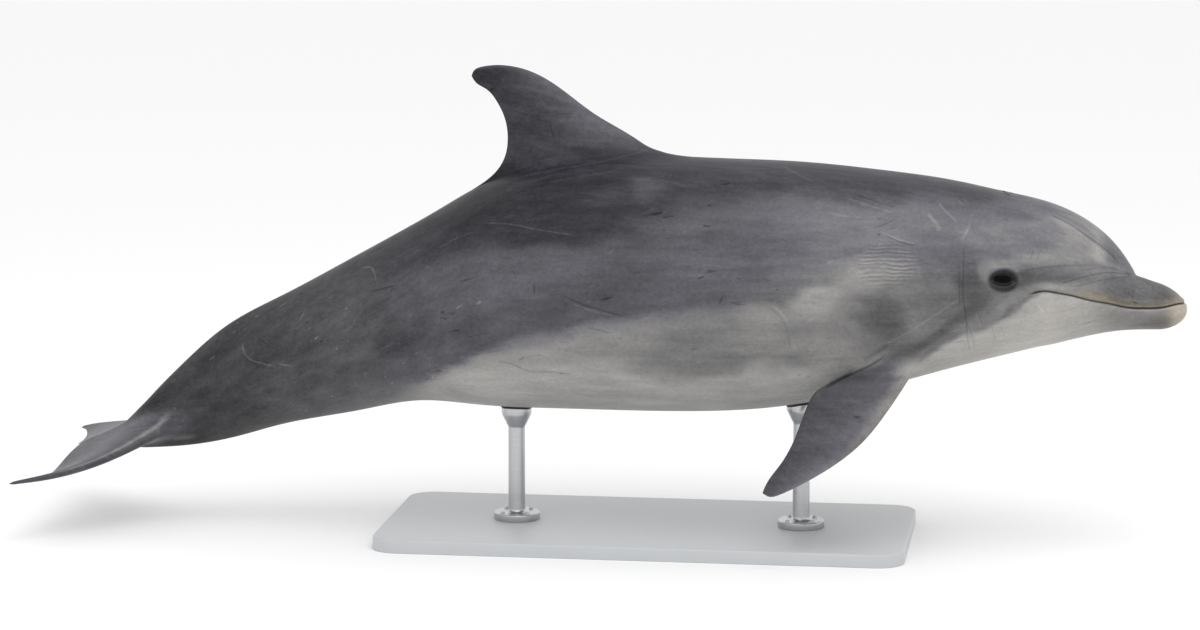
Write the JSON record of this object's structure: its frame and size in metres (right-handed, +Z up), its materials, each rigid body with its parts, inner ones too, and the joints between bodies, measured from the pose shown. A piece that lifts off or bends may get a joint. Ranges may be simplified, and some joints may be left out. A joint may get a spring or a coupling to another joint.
{
  "type": "bottlenose dolphin display model",
  "caption": "Life-size still model of a swimming bottlenose dolphin, tail lowered and mouth closed, held over a flat base by short rods.",
  "frame": {"origin": "centre of the model's footprint box at floor level, under the stand's base", "axes": "+X towards the beak, +Y to the animal's left, +Z up"},
  "size_m": [2.585, 0.6049, 1.0584],
  "materials": {
    "skin": "smooth damp skin, mid grey flanks, satin",
    "skin_dark": "smooth damp skin, dark grey, satin",
    "skin_pale": "smooth damp skin, pale warm grey, satin",
    "eye": "wet, dark brown to black, high gloss",
    "stand_paint": "pale grey satin paint",
    "stand_steel": "fine turned steel"
  },
  "bodies": {
    "root": {"head": "skin", "beak_upper": "skin", "jaw_lower": "skin_pale", "blowhole": "skin_dark", "eye_left": "eye", "eye_right": "eye", "neck": "skin", "chest": "skin", "abdomen": "skin", "tail_stock": "skin_dark", "dorsal_fin": "skin_dark", "flipper_left": "skin_dark", "flipper_right": "skin_dark", "fluke_left": "skin_dark", "fluke_right": "skin_dark", "stand_base": "stand_paint", "stand_rod_front": "stand_steel", "stand_rod_rear": "stand_steel"}
  },
  "joints": []
}
